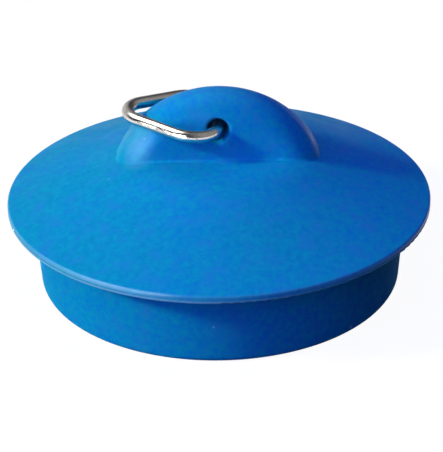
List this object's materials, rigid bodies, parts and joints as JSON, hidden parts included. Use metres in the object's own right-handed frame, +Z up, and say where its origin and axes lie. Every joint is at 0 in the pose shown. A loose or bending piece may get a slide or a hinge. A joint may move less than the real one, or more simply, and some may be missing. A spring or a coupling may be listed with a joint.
{
  "type": "basin stopper",
  "caption": "Blue rubber basin stopper: wide flange, tapered hollow skirt and a half-moon lug with a swinging wire lift ring.",
  "frame": {"origin": "centre of the skirt's foot, on the surface that the stopper stands on", "axes": "+Z up through the lug, X along the lug with the ring lying to -X, Y along the ring's pin"},
  "size_m": [0.052, 0.052, 0.0247],
  "materials": {
    "rubber": "satin moulded rubber",
    "wire": "bright drawn wire"
  },
  "bodies": {
    "plug": {"plug_body": "rubber"},
    "ring": {"lift_ring": "wire"}
  },
  "joints": [
    {"name": "ring_swing", "type": "hinge", "parent": "plug", "child": "ring", "pos_m": [0, 0.0003, 0.0207], "axis": [0, 1, 0], "range_deg": [0, 167]}
  ]
}
